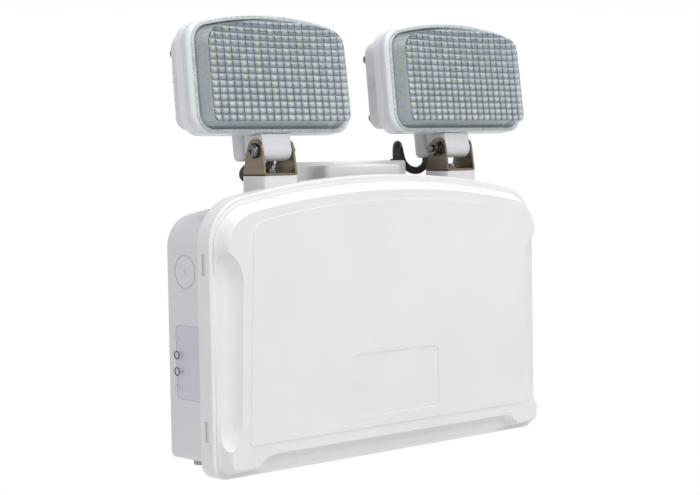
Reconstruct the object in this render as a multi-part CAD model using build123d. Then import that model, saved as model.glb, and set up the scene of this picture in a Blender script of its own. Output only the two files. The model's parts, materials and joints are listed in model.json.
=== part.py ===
from build123d import *
import math
import os

# Twin-head emergency light, millimetres.
# The wall is the plane Y = 0, the front faces -Y, +Z is up and X = 0 is the middle.
# A depth is a distance out from the wall, so a point at depth d has Y = -d.

# Front cover
cover_width = 280.0
cover_low = -87.5
cover_top = 88.8
cover_arch = 630.0
cover_top_corner = 30.0
cover_low_corner = 10.0
cover_wall = 2.4
skirt_back = 36.1
rim_depth = 47.8
rim_edge = 1.2
step_height = 1.3
plateau_depth = 56.6
plateau_side_inset = 7.6
plateau_top_inset = 9.4
plateau_low_inset = 6.3
field_height = 0.5
field_low_width = 238.6
field_top_width = 227.0
field_low = -68.2
field_top = 73.3
field_arch = 616.0
field_corner = 9.0
panel_width = 75.0
panel_low = -61.2
panel_height = 39.3
panel_depth = 0.4
panel_corner = 4.0

# Finger coves in the cover's sides and foot
cove_radius = 20.0
cove_depth = 7.0
side_cove_width = 10.0
side_cove_top_x = 142.0
side_cove_top_z = 28.8
side_cove_low_x = 144.9
side_cove_low_z = -54.2
low_cove_width = 6.7
low_cove_half_length = 98.0
low_cove_edge = -74.8

# Cover clips
clip_slot_height = 12.4
clip_slot_width = 3.4
clip_depth = 41.9
clip_heights = (39.0, -58.8)
clip_clearance = 0.3
clip_reach = 1.6

# Back box
box_width = 271.2
box_low = -79.2
box_top = 78.8
box_arch = 620.0
box_top_corner = 20.0
box_low_corner = 4.4
box_wall = 2.5
flange_back = 38.0
flange_front = 41.2
cover_clearance = 0.3
box_edge = 1.5
seal_width = 3.5
seal_inset = 3.2
wall_hole_x = 220.0
wall_hole_z = 120.0
wall_hole_radius = 2.75
cable_entry_radius = 10.25
cable_entry_x = -40.0
cable_entry_z = 52.0
knockout_radius = 10.2
knockout_depth = 18.2
knockout_z = 33.8
knockout_groove = 0.9
knockout_groove_depth = 0.7
knockout_dimple = 1.5

# Hump on top of the box, where the lamp leads come out
hump_half_width = 33.5
hump_front = 30.8
hump_top = 95.2
ridge_half_width = 51.5
ridge_front = 17.6
ridge_top = 97.3
hump_corner = 4.0
ridge_corner = 5.0
hump_hollow = 9.0
hump_edge = 1.5
hump_wall = 3.0

# Lamp posts
post_spacing = 156.6
post_width = 26.1
post_length = 21.8
post_centre = 30.0
post_top = 89.7
post_edge = 1.5
post_notch_clearance = 0.4

# Indicator label on the left side wall
label_low = -42.7
label_high = 1.9
label_back = 7.7
label_front = 36.9
label_corner = 3.0
label_recess = 0.5
label_thickness = 0.3
indicator_depth = 12.5
indicator_heights = (-15.8, -25.6)
indicator_radius = 1.6
indicator_proud = 0.5
indicator_foot = 3.0
label_clearance = 0.3

# Test button under the box
button_x = -126.4
button_depth = 17.5
button_radius = 4.2
button_flange_radius = 4.9
button_flange = 1.2
button_length = 9.0
button_proud = 3.2
button_travel = 2.0
button_clearance = 0.08

# Lamp brackets
sheet = 1.5
ear_low_width = 21.0
ear_top_radius = 7.0
pivot_height = 15.2
pivot_depth = 31.2
bracket_width = 26.0
bend_radius = 1.8
pan_clearance = 0.1
post_screw_radius = 2.0
post_screw_head = 4.1
post_screw_head_height = 2.3
post_screw_length = 14.0
post_washer_radius = 5.0
post_washer_height = 0.8
pivot_screw_radius = 2.5
pivot_head_radius = 4.7
pivot_head_height = 2.9
pivot_running = 0.08
hole_clearance = 0.1
pivot_washer_radius = 5.2
pivot_washer_height = 1.0
pivot_nut_size = 4.0
pivot_nut_height = 3.6
pivot_thread_end = 2.2
cross_width = 1.1
cross_span = 4.4
cross_depth = 1.2

# Lamp head, measured from the tilt pivot: across, up and back, before the head leans back
head_lean = 6.5
face_low_half = 53.7
face_top_half = 52.4
face_low = 15.0
face_top = 77.6
face_arch = 180.0
face_front = 16.0
face_top_corner = 11.0
face_low_corner = 6.5
lens_foot_half = 57.2
lens_foot_low = 12.4
lens_foot_top = 81.0
lens_foot_front = 4.5
lens_foot_corner = 12.0
lens_wall = 2.2
lens_seat = 0.3
prism_columns = 19
prism_rows = 15
prism_groove = 0.7
prism_margin = 1.0
bezel_half = 62.6
bezel_top_half = 61.6
bezel_low = 9.8
bezel_top = 84.4
bezel_corner = 15.0
bezel_low_corner = 12.0
bezel_front = 6.5
bezel_back = 5.0
bezel_edge = 2.2
bezel_ledge = 2.5
bezel_ledge_reach = 5.0
spigot_clearance = 0.6
spigot_wall = 1.4
spigot_length = 3.0
gasket_reach = 1.9
gasket_front = 7.0
gasket_back = 2.2
rear_inset = 3.4
rear_taper = 2.2
rear_back = 25.0
rear_wall = 2.2
rear_edge = 5.0
rear_rib_count = 5
rear_rib_pitch = 5.2
rear_rib_low = 28.0
rear_rib = 0.6
arm_width = 22.4
barrel_radius = 6.4
arm_half_thickness = 6.0
lug_half_width = 12.0
lug_front = 13.5
lug_back = 24.5
lug_low = -4.0
lug_corner = 4.5
web_thickness = 2.4
board_thickness = 1.6
board_front = 1.2
board_half = 51.0
board_low = 18.0
board_high = 76.0
led_columns = 9
led_rows = 6
led_pitch_x = 11.3
led_pitch_z = 8.6
led_size = 3.0
led_height = 0.9
reflector_wall = 1.0
reflector_base = 1.8
reflector_window = 6.0
head_screw_x = 51.5
head_screw_heights = (22.7, 61.5)
head_screw_sunk = 3.0
head_screw_length = 17.4
head_screw_radius = 1.5
head_screw_head = 3.0
head_boss_radius = 3.6
bezel_boss_radius = 3.2
boss_meeting = 13.0

# Lamp leads
lead_radius = 2.5
lead_x = 46.7
lead_depth = 11.1
gland_flange_radius = 4.2
gland_flange = 1.0
gland_stem_radius = 3.6
gland_stem = 8.0
lead_clearance = 0.2
lead_entry_across = 4.5
lead_entry_back = 20.0
lead_entry_clearance = 0.4
lead_entry_reach = 2.4
lead_hook = (
    (46.7, 11.1, 91.8), (46.7, 11.1, 97.6), (46.3, 11.3, 103.4), (48.0, 10.2, 108.0),
    (52.8, 7.0, 107.8), (55.6, 5.4, 102.8), (57.6, 5.4, 96.2), (61.8, 7.0, 91.2),
    (67.8, 9.4, 89.6), (72.4, 11.0, 92.6),
)

# Inside the box
boss_radius = 3.5
board_depth = 10.0
pcb_thickness = 1.6
pcb_left = -124.0
pcb_right = -46.0
pcb_low = -54.0
pcb_high = 16.0
pcb_hole_inset = 5.0
pcb_screw_radius = 1.5
pcb_screw_head = 2.9
pcb_screw_head_height = 2.0
pcb_screw_length = 8.0
cell_radius = 16.0
cell_height = 60.0
cell_count = 4
cell_pitch = 31.4
cell_web = 20.0
cell_edge = 1.2
pack_left = -30.0
strap_width = 16.0
strap_thickness = 1.2
strap_foot = 12.0
strap_clearance = 0.3
transformer_width = 42.0
transformer_height = 35.0
transformer_depth = 28.0
transformer_x = -94.0
transformer_z = -34.0
transformer_window = 7.0
bobbin_proud = 5.0
capacitor_radius = 5.0
capacitor_height = 20.0
capacitor_x = -58.0
capacitor_heights = (-14.0, -28.0)
switch_width = 8.0
switch_height = 6.0
switch_clearance = 0.3
terminal_width = 40.0
terminal_height = 20.0
terminal_depth = 16.0
terminal_x = -80.0
terminal_z = 48.0
fuse_length = 24.0
fuse_radius = 3.2
fuse_x = -66.0
fuse_z = -1.0
fuse_base = 3.0
fuse_width = 8.0

half_cover = cover_width / 2
half_box = box_width / 2
pivot_z = post_top + pivot_height


def depth_plane(depth):
    """Sketch plane parallel to the wall, facing the front: its x is X and its y is Z."""
    return Plane(origin=(0, -depth, 0), x_dir=(1, 0, 0), z_dir=(0, -1, 0))


def arched(low_half, top_half, low, top, arch, top_corner, low_corner):
    """Flat outline with a straight foot, straight sides, an arched top and round corners."""
    shoulder = top - arch + math.sqrt(arch**2 - top_half**2)
    corners = [(-low_half, low), (low_half, low), (top_half, shoulder), (-top_half, shoulder)]
    edges = [Line(corners[0], corners[1])]
    edges.append(Line(corners[1], corners[2]))
    edges.append(ThreePointArc(corners[2], (0, top), corners[3]))
    edges.append(Line(corners[3], corners[0]))
    face = make_face(Curve() + edges)
    face = fillet(face.vertices().sort_by(Axis.Y)[-2:], top_corner)
    return fillet(face.vertices().sort_by(Axis.Y)[:2], low_corner)


def slab(outline, back, front):
    """Outline thickened from one depth to another."""
    return extrude(depth_plane(back) * outline, amount=front - back)


def taper(back_outline, back, front_outline, front):
    """Straight-walled solid between two outlines at two depths."""
    return loft([depth_plane(back) * back_outline, depth_plane(front) * front_outline], ruled=True)


def block(x0, x1, depth0, depth1, z0, z1):
    """Box between two limits on X, depth and Z."""
    size = Box(x1 - x0, depth1 - depth0, z1 - z0)
    return Pos((x0 + x1) / 2, -(depth0 + depth1) / 2, (z0 + z1) / 2) * size


def rod(radius, start, end):
    """Round bar between two points."""
    start = Vector(*start)
    end = Vector(*end)
    axis = end - start
    return Plane(origin=start, z_dir=axis) * Cylinder(
        radius, axis.length, align=(Align.CENTER, Align.CENTER, Align.MIN)
    )


def pan_screw(plane, head_radius, head_height, shank_radius, length):
    """Pan head on the plane's facing side, shank behind it, with a cross recess."""
    head = Cylinder(head_radius, head_height, align=(Align.CENTER, Align.CENTER, Align.MIN))
    head = fillet(head.edges().sort_by(Axis.Z)[-1], head_height * 0.55)
    shank = Cylinder(shank_radius, length, align=(Align.CENTER, Align.CENTER, Align.MAX))
    shank = chamfer(shank.edges().sort_by(Axis.Z)[0], shank_radius * 0.3)
    screw = head + shank
    recess = Pos(0, 0, head_height) * (
        Box(cross_span, cross_width, 2 * cross_depth) + Box(cross_width, cross_span, 2 * cross_depth)
    )
    return plane * (screw - recess)


def cover_outline(share, inset=0.0):
    """Cover outline between its outer edge (share 0) and its plateau edge (share 1)."""
    half = half_cover - share * plateau_side_inset - inset
    top = cover_top - share * plateau_top_inset - inset
    low = cover_low + share * plateau_low_inset + inset
    corner = cover_top_corner - share * plateau_side_inset - inset
    low_corner = max(cover_low_corner - share * plateau_low_inset - inset, 3.0)
    return arched(half, half, low, top, cover_arch - inset, corner, low_corner)


def cove_cutter(start, end, width, foot):
    """Stadium-shaped dish: a concave wall that runs round two end centres.

    The wall rises from the dish's floor to the plateau at the dish's radius. Outside the wall
    a ramp falls to the level of the rim at the foot radius.
    """
    floor = plateau_depth - cove_depth
    inner = cove_radius - width
    bend = (width**2 + cove_depth**2) / (2 * cove_depth)
    turn = math.asin(width / bend) if bend >= cove_depth else math.pi / 2
    middle = (inner + bend * math.sin(turn / 2), floor + bend * (1 - math.cos(turn / 2)))
    above = plateau_depth + 10.0
    wall = ThreePointArc((inner, floor), middle, (cove_radius, plateau_depth))
    edges = [Line((0, rim_depth), (foot, rim_depth)), Line((foot, rim_depth), (inner, floor))]
    edges += [wall, Line((cove_radius, plateau_depth), (cove_radius, above))]
    edges += [Line((cove_radius, above), (0, above)), Line((0, above), (0, rim_depth))]
    half_profile = Plane.XZ * make_face(Curve() + edges)
    run = Vector(end[0] - start[0], 0, end[1] - start[1])
    length = run.length
    dish = revolve(half_profile, Axis.Z)
    full = half_profile + mirror(half_profile, about=Plane.YZ)
    channel = extrude(full, amount=length, dir=(0, 1, 0))
    tool = dish + channel + Pos(0, length, 0) * revolve(half_profile, Axis.Z)
    along = run.normalized()
    across = along.cross(Vector(0, -1, 0))
    return Plane(origin=(start[0], 0, start[1]), x_dir=across, z_dir=(0, -1, 0)) * tool


def post_block(side, clearance, low):
    """Rectangular lamp post, or the room that it needs."""
    half_x = post_width / 2 + clearance
    half_d = post_length / 2 + clearance
    centre = side * post_spacing / 2
    return block(centre - half_x, centre + half_x, post_centre - half_d, post_centre + half_d,
                 low, post_top)


def make_front_cover():
    """Moulded front cover: skirt, stepped rim, raised plateau, coves, field and bare panel."""
    step_depth = rim_depth + step_height
    shoulder_depth = rim_depth + (plateau_depth - rim_depth) * 0.72
    rim = slab(cover_outline(0), skirt_back, rim_depth)
    rim = fillet(rim.faces().sort_by(Axis.Y)[0].edges(), rim_edge)
    body = rim + slab(cover_outline(0.36), rim_depth, step_depth)
    body += taper(cover_outline(0.5), step_depth, cover_outline(0.76), shoulder_depth)
    body += taper(cover_outline(0.76), shoulder_depth, cover_outline(1), plateau_depth)
    rise = (side_cove_top_x, side_cove_top_z), (side_cove_low_x, side_cove_low_z)
    side_foot = side_cove_top_x - half_cover + 4.0
    right = cove_cutter(rise[1], rise[0], side_cove_width, side_foot)
    low_centre = low_cove_edge - cove_radius
    low_foot = cover_low - low_centre + 1.5
    foot = cove_cutter((-low_cove_half_length, low_centre), (low_cove_half_length, low_centre),
                       low_cove_width, low_foot)
    body -= right
    body -= mirror(right, about=Plane.YZ)
    body -= foot
    field = arched(field_low_width / 2, field_top_width / 2, field_low, field_top, field_arch,
                   field_corner, 2.0)
    body += slab(field, plateau_depth, plateau_depth + field_height)
    panel = RectangleRounded(panel_width, panel_height, panel_corner)
    panel = Pos(0, panel_low + panel_height / 2) * panel
    front = plateau_depth + field_height
    body -= slab(panel, front - panel_depth, front + 1)
    body -= slab(cover_outline(0, cover_wall), skirt_back - 1, rim_depth - cover_wall)
    pocket_half = side_cove_top_x - cove_radius - cover_wall - 2.0
    pocket_low = low_cove_edge + cover_wall + 1.0
    pocket_top = cover_top - plateau_top_inset - cover_wall
    pocket = arched(pocket_half, pocket_half, pocket_low, pocket_top, cover_arch,
                    cover_top_corner - plateau_side_inset, 4.0)
    body -= slab(pocket, rim_depth - cover_wall - 1, plateau_depth - cover_wall)
    for side in (-1, 1):
        body -= post_block(side, post_notch_clearance, cover_top - 30.0)
        for height in clip_heights:
            x = side * half_cover
            body -= block(x - 5, x + 5, clip_depth - clip_slot_width / 2,
                          clip_depth + clip_slot_width / 2, height - clip_slot_height / 2,
                          height + clip_slot_height / 2)
    return body


def box_outline(inset=0.0):
    """Back box outline, drawn in by an inset."""
    half = half_box - inset
    return arched(half, half, box_low + inset, box_top - inset, box_arch - inset,
                  box_top_corner - inset, max(box_low_corner - inset, 2.0))


def hump_outline(inset=0.0):
    """Plan of the hump: a wide ridge at the wall with a narrower nose, hollow corners between."""
    nose = hump_half_width - inset
    wide = ridge_half_width - inset
    front = -hump_front + inset
    step = -ridge_front + inset
    points = [(-wide, 0), (wide, 0), (wide, step), (nose, step), (nose, front), (-nose, front),
              (-nose, step), (-wide, step)]
    plan = make_face(Polyline(*points, close=True))
    hollow = [v for v in plan.vertices() if abs(v.Y - step) < 0.01 and abs(abs(v.X) - nose) < 0.01]
    plan = fillet(hollow, hump_hollow)
    nose_corners = [v for v in plan.vertices() if abs(v.Y - front) < 0.01]
    plan = fillet(nose_corners, hump_corner)
    ends = [v for v in plan.vertices() if abs(v.Y - step) < 0.01 and abs(abs(v.X) - wide) < 0.01]
    return fillet(ends, ridge_corner)


def make_hump():
    """Hump on top of the box, with a higher ridge at its back."""
    base = box_top - 8.0
    nose = extrude(Plane.XY.offset(base) * hump_outline(), amount=hump_top - base)
    nose = fillet(nose.faces().sort_by(Axis.Z)[-1].edges().filter_by(
        lambda e: e.center().Y < -0.1), hump_edge)
    back = block(-ridge_half_width, ridge_half_width, 0, ridge_front, base, ridge_top)
    back = fillet(back.edges().filter_by(Axis.Z).sort_by(Axis.Y)[:2], ridge_corner)
    back = fillet(back.faces().sort_by(Axis.Z)[-1].edges().filter_by(
        lambda e: e.center().Y < -0.1), hump_edge)
    return nose + back


def make_back_box():
    """Moulded back box: shell, flange, hump, posts, bosses, recesses and openings."""
    shell = slab(box_outline(), 0, flange_front)
    shell = fillet(shell.faces().sort_by(Axis.Y)[-1].edges(), box_edge)
    flange = slab(cover_outline(0, cover_wall + cover_clearance), flange_back, flange_front)
    box = shell + flange
    for side in (-1, 1):
        post = post_block(side, 0, box_low + 120.0)
        post = fillet(post.edges().filter_by(Axis.Z), post_edge)
        box += post
    box += make_hump()
    box -= slab(box_outline(box_wall), box_wall, flange_front + 1)
    hump_room = extrude(Plane.XY.offset(box_top - 20.0) * hump_outline(hump_wall),
                        amount=hump_top - box_wall - box_top + 20.0)
    box -= hump_room & block(-200, 200, box_wall, hump_front, box_low, hump_top)
    for side in (-1, 1):
        centre = side * post_spacing / 2
        box -= rod(post_screw_radius, (centre, -post_centre, post_top - post_screw_length - 1),
                   (centre, -post_centre, post_top + 1))
        box -= rod(gland_stem_radius + 0.05, (side * lead_x, -lead_depth, ridge_top - gland_stem - 1),
                   (side * lead_x, -lead_depth, ridge_top + 1))
    for x in (-wall_hole_x / 2, wall_hole_x / 2):
        for z in (-wall_hole_z / 2, wall_hole_z / 2):
            box -= rod(wall_hole_radius, (x, 1, z), (x, -box_wall - 1, z))
    box -= rod(cable_entry_radius, (cable_entry_x, 1, cable_entry_z),
               (cable_entry_x, -box_wall - 1, cable_entry_z))
    for side in (-1, 1):
        for height in clip_heights:
            half = clip_slot_height / 2 - clip_clearance
            outer = half_cover - cover_wall - cover_clearance
            low, high = sorted((side * (outer - 2.2), side * outer))
            box += block(low, high, flange_front - 1, rim_depth - cover_wall - 0.6,
                         height - half, height + half)
            low, high = sorted((side * (outer - 1), side * (outer + clip_reach)))
            reach = clip_slot_width / 2 - clip_clearance
            box += block(low, high, clip_depth - reach, clip_depth + reach, height - half,
                         height + half)
    for side in (-1, 1):
        face = Plane(origin=(side * half_box, -knockout_depth, knockout_z), z_dir=(side, 0, 0))
        ring = Cylinder(knockout_radius, 2 * knockout_groove_depth)
        ring -= Cylinder(knockout_radius - knockout_groove, 2 * knockout_groove_depth)
        box -= face * ring
        box -= face * Sphere(knockout_dimple)
    recess = block(-half_box - 1, -half_box + label_recess, label_back, label_front, label_low,
                   label_high)
    recess = fillet(recess.edges().filter_by(Axis.X).sort_by(Axis.Y)[-2:], label_corner)
    box -= recess
    for z in indicator_heights:
        box -= rod(indicator_radius + 0.05, (-half_box - 1, -indicator_depth, z),
                   (-half_box + box_wall + 1, -indicator_depth, z))
    box -= rod(button_radius + button_clearance, (button_x, -button_depth, box_low - 1),
               (button_x, -button_depth, box_low + box_wall + 1))
    for x, z in board_points():
        boss = rod(boss_radius, (x, -box_wall + 0.5, z), (x, -board_depth, z))
        box += boss
        box -= rod(pcb_screw_radius, (x, -box_wall - 0.5, z), (x, -board_depth - 1, z))
    for x, z in strap_points():
        box += rod(boss_radius, (x, -box_wall + 0.5, z), (x, -board_depth, z))
        box -= rod(pcb_screw_radius, (x, -box_wall - 0.5, z), (x, -board_depth - 1, z))
    return box


def board_points():
    """Screw places of the control board."""
    xs = (pcb_left + pcb_hole_inset, pcb_right - pcb_hole_inset)
    zs = (pcb_low + pcb_hole_inset, pcb_high - pcb_hole_inset)
    return [(x, z) for x in xs for z in zs]


def pack_right():
    """Right end of the battery pack."""
    return pack_left + 2 * cell_radius + cell_pitch * (cell_count - 1)


def strap_points():
    """Screw places of the battery strap's two feet."""
    z = box_low + box_wall + cell_height / 2
    reach = strap_thickness + strap_clearance + strap_foot / 2
    return [(pack_left - reach, z), (pack_right() + reach, z)]


def make_cover_seal():
    """Rubber seal between the flange and the cover."""
    outer = cover_outline(0, cover_wall + seal_inset)
    inner = cover_outline(0, cover_wall + seal_inset + seal_width)
    return slab(outer, flange_front, rim_depth - cover_wall) - slab(
        inner, flange_front - 1, rim_depth)


def make_label():
    """Indicator label: a film in its recess with windows for the two indicators."""
    film = block(-half_box + label_recess - label_thickness, -half_box + label_recess,
                 label_back + label_clearance, label_front - label_clearance,
                 label_low + label_clearance, label_high - label_clearance)
    film = fillet(film.edges().filter_by(Axis.X).sort_by(Axis.Y)[-2:],
                  label_corner - label_clearance)
    for z in indicator_heights:
        film -= rod(indicator_radius + 0.05, (-half_box - 1, -indicator_depth, z),
                    (-half_box + 2, -indicator_depth, z))
    return film


def make_indicator(height):
    """Light guide with a domed end in the side wall and a foot on the inside."""
    outer = -half_box + label_recess - label_thickness - indicator_proud
    inner = -half_box + box_wall
    guide = rod(indicator_radius, (outer, -indicator_depth, height),
                (inner, -indicator_depth, height))
    guide = fillet(guide.edges().sort_by(Axis.X)[0], 0.45)
    foot = rod(indicator_radius + 1.0, (inner, -indicator_depth, height),
               (inner + indicator_foot, -indicator_depth, height))
    return guide + foot


def make_test_button():
    """Round push button with a retaining flange inside the box."""
    seat = box_low + box_wall
    stem = rod(button_radius, (button_x, -button_depth, box_low - button_proud),
               (button_x, -button_depth, seat + button_length - button_flange))
    stem = fillet(stem.edges().sort_by(Axis.Z)[0], 0.8)
    collar = rod(button_flange_radius, (button_x, -button_depth, seat + 0.1),
                 (button_x, -button_depth, seat + 0.1 + button_flange))
    return stem + collar


def make_test_switch():
    """Small switch above the button, on a bracket from the left wall."""
    low = box_low + box_wall + button_length - button_flange + button_travel + switch_clearance
    half = switch_width / 2
    return block(-half_box + box_wall, button_x + half + 2, button_depth - half,
                 button_depth + half, low, low + switch_height)


def make_battery_pack():
    """Cells side by side in a shrink sleeve, standing on the box's foot."""
    middle = -box_wall - cell_radius
    span = cell_pitch * (cell_count - 1)
    first = pack_left + cell_radius
    plan = Pos(first + span / 2, middle) * Rectangle(span, cell_web)
    for index in range(cell_count):
        plan += Pos(first + cell_pitch * index, middle) * Circle(cell_radius)
    pack = extrude(Plane.XY.offset(box_low + box_wall) * plan, amount=cell_height)
    ends = pack.edges().group_by(Axis.Z)
    return chamfer(ends[0] + ends[-1], cell_edge)


def make_battery_strap():
    """Flat strap over the cells with a foot at each end."""
    low = box_low + box_wall + cell_height / 2 - strap_width / 2
    high = low + strap_width
    left = pack_left - strap_clearance
    right = pack_right() + strap_clearance
    front = box_wall + 2 * cell_radius + strap_clearance
    strap = block(left - strap_thickness, right + strap_thickness, front, front + strap_thickness,
                  low, high)
    for inner, outward in ((left, -1), (right, 1)):
        edge = inner + outward * strap_thickness
        x0, x1 = sorted((inner, edge))
        strap += block(x0, x1, board_depth, front + strap_thickness, low, high)
        x0, x1 = sorted((inner, edge + outward * strap_foot))
        strap += block(x0, x1, board_depth, board_depth + strap_thickness, low, high)
    for x, z in strap_points():
        strap -= rod(pcb_screw_radius + hole_clearance, (x, 0, z), (x, -board_depth - 5, z))
    return strap


def make_control_board():
    """Circuit board with a hole over each boss."""
    board = block(pcb_left, pcb_right, board_depth, board_depth + pcb_thickness, pcb_low, pcb_high)
    for x, z in board_points():
        board -= rod(pcb_screw_radius + hole_clearance, (x, 0, z), (x, -board_depth - 5, z))
    return board


def make_board_screws():
    """Screws of the board and of the battery strap."""
    screws = []
    for x, z in board_points():
        plane = Plane(origin=(x, -board_depth - pcb_thickness, z), z_dir=(0, -1, 0))
        screws.append(small_screw(plane))
    for x, z in strap_points():
        plane = Plane(origin=(x, -board_depth - strap_thickness, z), z_dir=(0, -1, 0))
        screws.append(small_screw(plane))
    return Compound(children=screws)


def small_screw(plane):
    """Plain small screw, head in front of the plane."""
    head = Cylinder(pcb_screw_head, pcb_screw_head_height,
                    align=(Align.CENTER, Align.CENTER, Align.MIN))
    head = fillet(head.edges().sort_by(Axis.Z)[-1], pcb_screw_head_height / 2)
    shank = Cylinder(pcb_screw_radius - 0.05, pcb_screw_length,
                     align=(Align.CENTER, Align.CENTER, Align.MAX))
    return plane * (head + shank)


def make_transformer():
    """Laminated core with a wound bobbin, on the board."""
    base = board_depth + pcb_thickness
    half_w = transformer_width / 2
    half_h = transformer_height / 2
    window = transformer_window
    low = transformer_z - half_h + window
    high = transformer_z + half_h - window
    core = block(transformer_x - half_w, transformer_x + half_w, base, base + transformer_depth,
                 transformer_z - half_h, transformer_z + half_h)
    for side in (-1, 1):
        x = transformer_x + side * half_w / 2
        core -= block(x - window / 2, x + window / 2, base - 1, base + transformer_depth + 1, low, high)
    reach = (half_w + window) / 2
    bobbin = block(transformer_x - reach, transformer_x + reach, base,
                   base + transformer_depth + bobbin_proud, low, high)
    return core + bobbin


def make_capacitors():
    """Two round capacitors standing on the board."""
    base = board_depth + pcb_thickness
    cans = []
    for z in capacitor_heights:
        can = rod(capacitor_radius, (capacitor_x, -base, z), (capacitor_x, -base - capacitor_height, z))
        cans.append(fillet(can.edges().sort_by(Axis.Y)[0], 0.8))
    return Compound(children=cans)


def make_fuse_holder():
    """Fuse in two clips on a base, on the board."""
    base = board_depth + pcb_thickness
    half = fuse_length / 2
    low = fuse_z - fuse_width / 2
    high = fuse_z + fuse_width / 2
    holder = block(fuse_x - half, fuse_x + half, base, base + fuse_base, low, high)
    axis = -base - fuse_base - fuse_radius + 1.0
    holder += rod(fuse_radius, (fuse_x - half + 1, axis, fuse_z), (fuse_x + half - 1, axis, fuse_z))
    for side in (-1, 1):
        clip = fuse_x + side * (half - 4)
        holder += block(clip - 2, clip + 2, base, base + fuse_base + 2 * fuse_radius, low, high)
    return holder


def make_terminal_block():
    """Three-way mains terminal block on the rear wall."""
    low = terminal_z - terminal_height / 2
    body = block(terminal_x - terminal_width / 2, terminal_x + terminal_width / 2, box_wall,
                 box_wall + terminal_depth, low, low + terminal_height)
    body = chamfer(body.faces().sort_by(Axis.Y)[0].edges().filter_by(Axis.X), 2.5)
    pitch = terminal_width / 4
    for index in range(4):
        x = terminal_x + (index - 1.5) * pitch
        for z in (low + 4.5, low + terminal_height - 4.5):
            body -= rod(2.0, (x, -box_wall - terminal_depth + 4, z),
                        (x, -box_wall - terminal_depth - 1, z))
        body -= rod(1.8, (x, -box_wall - 5, low - 1), (x, -box_wall - 5, low + 5))
    return body


def make_gland(side):
    """Bush with a flange on the ridge and a stem through its roof."""
    x = side * lead_x
    flange = rod(gland_flange_radius, (x, -lead_depth, ridge_top),
                 (x, -lead_depth, ridge_top + gland_flange))
    flange = fillet(flange.edges().sort_by(Axis.Z)[-1], 0.4)
    stem = rod(gland_stem_radius, (x, -lead_depth, ridge_top - gland_stem),
               (x, -lead_depth, ridge_top))
    hole = rod(lead_radius + lead_clearance, (x, -lead_depth, ridge_top - gland_stem - 1),
               (x, -lead_depth, ridge_top + gland_flange + 1))
    return flange + stem - hole


def head_place(side):
    """Where a head's own frame goes: at the tilt pivot, leaning back."""
    return Pos(side * post_spacing / 2, -pivot_depth, pivot_z) * Rot(-head_lean, 0, 0)


def head_point(side, across, up, back):
    """Point of the head's own frame, in the light's frame."""
    lean = math.radians(head_lean)
    y = back * math.cos(lean) + up * math.sin(lean)
    z = up * math.cos(lean) - back * math.sin(lean)
    return (side * post_spacing / 2 + across, -pivot_depth + y, pivot_z + z)


def lead_route(side):
    """Points of a lamp lead, from its gland over a hook and round a loop up into the head."""
    across = -side * lead_entry_across
    points = [(side * x, -depth, z) for x, depth, z in lead_hook]
    below = head_point(side, across, lug_low - lead_entry_reach, lead_entry_back)
    end = head_point(side, across, lug_low + lead_entry_reach, lead_entry_back)
    return points + [below, end]


def arc_radii(points):
    """Largest even arcs for a route: 0.45 of the shorter run over the tangent of half the turn."""
    vectors = [Vector(*p) for p in points]
    radii = []
    for before, here, after in zip(vectors, vectors[1:], vectors[2:]):
        first = here - before
        second = after - here
        turn = math.radians(first.get_angle(second))
        radii.append(0.45 * min(first.length, second.length) / math.tan(turn / 2))
    return radii


def make_lead(side):
    """Round lamp lead along its route."""
    points = lead_route(side)
    radii = arc_radii(points)
    path = FilletPolyline(*points, radius=radii)
    start = Plane(origin=path @ 0, z_dir=path % 0)
    lead = sweep(start * Circle(lead_radius), path=path)
    ratio = lead.volume / (math.pi * lead_radius**2 * path.length)
    print("lead", side, "radii", [round(r, 1) for r in radii], "length", round(path.length, 1),
          "volume ratio", round(ratio, 4))
    return lead


def make_bracket(side):
    """Folded stainless bracket: a base on the post and two tapered ears."""
    centre = side * post_spacing / 2
    low = post_top + pan_clearance
    half_b = bracket_width / 2
    half_d = post_length / 2
    base = block(centre - half_b + 0.2, centre + half_b - 0.2, post_centre - half_d + 0.3,
                 post_centre + half_d - 0.3, low, low + sheet)
    pivot = pivot_z
    half_low = ear_low_width / 2
    ears = None
    foot_front = (-post_centre - half_low, low)
    foot_back = (-post_centre + half_low, low)
    edges = ear_edges(foot_front, foot_back, (-pivot_depth, pivot))
    profile = make_face(Curve() + edges)
    for ear in (-1, 1):
        x = centre + ear * (half_b - sheet / 2)
        plane = Plane(origin=(x, 0, 0), x_dir=(0, 1, 0), z_dir=(1, 0, 0))
        plate = extrude(plane * profile, amount=sheet / 2, both=True)
        ears = plate if ears is None else ears + plate
    bracket = base + ears
    outer_edges = [e for e in bracket.edges().filter_by(Axis.Y)
                   if abs(e.center().Z - low) < 0.01 and abs(abs(e.center().X - centre) - half_b) < 0.01]
    bracket = fillet(outer_edges, bend_radius)
    bracket -= rod(post_screw_radius + hole_clearance, (centre, -post_centre, low - 1),
                   (centre, -post_centre, low + sheet + 1))
    bracket -= rod(pivot_screw_radius + hole_clearance, (centre - half_b - 1, -pivot_depth, pivot),
                   (centre + half_b + 1, -pivot_depth, pivot))
    return bracket


def ear_edges(foot_front, foot_back, pivot):
    """Edges of an ear: a straight foot and two flanks tangent to the round about the pivot."""
    def flank(foot, turn):
        away = Vector(foot[0] - pivot[0], foot[1] - pivot[1])
        span = away.length
        bearing = math.atan2(away.Y, away.X) + turn * math.acos(ear_top_radius / span)
        return (pivot[0] + ear_top_radius * math.cos(bearing),
                pivot[1] + ear_top_radius * math.sin(bearing))
    front = flank(foot_front, -1)
    back = flank(foot_back, 1)
    crown = (pivot[0], pivot[1] + ear_top_radius)
    return [Line(foot_front, foot_back), Line(foot_back, back), ThreePointArc(back, crown, front),
            Line(front, foot_front)]


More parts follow.
